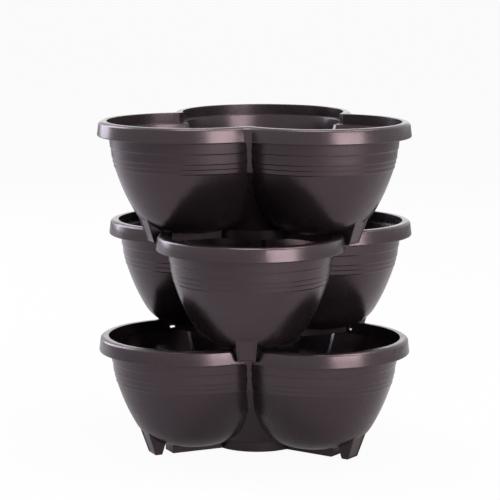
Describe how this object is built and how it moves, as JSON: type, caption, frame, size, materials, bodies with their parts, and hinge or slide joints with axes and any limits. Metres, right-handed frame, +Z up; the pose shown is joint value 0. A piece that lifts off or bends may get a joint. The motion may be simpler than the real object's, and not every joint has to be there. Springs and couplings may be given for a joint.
{
  "type": "planter tower",
  "caption": "Freestanding planter tower of lobed bowls stacked crosswise; each bowl's legs rest in notches in the rim of the bowl below.",
  "frame": {"origin": "on the tower's axis, on the ground plane that the bottom legs stand on", "axes": "+Z up along the tower's axis, -Y towards the front valley of the bottom and top bowls, +X to the right seen from the front"},
  "size_m": [0.3698, 0.393, 0.397],
  "materials": {
    "bowl_plastic": "satin injection-moulded black plastic"
  },
  "bodies": {
    "bottom_tier": {"bottom_tier": "bowl_plastic"},
    "middle_tier": {"middle_tier": "bowl_plastic"},
    "top_tier": {"top_tier": "bowl_plastic"}
  },
  "joints": [
    {"name": "middle_tier_lift", "type": "slide", "parent": "bottom_tier", "child": "middle_tier", "axis": [0, 0, 1], "range_m": [0, 0.16]},
    {"name": "top_tier_lift", "type": "slide", "parent": "middle_tier", "child": "top_tier", "axis": [0, 0, 1], "range_m": [0, 0.16]}
  ]
}
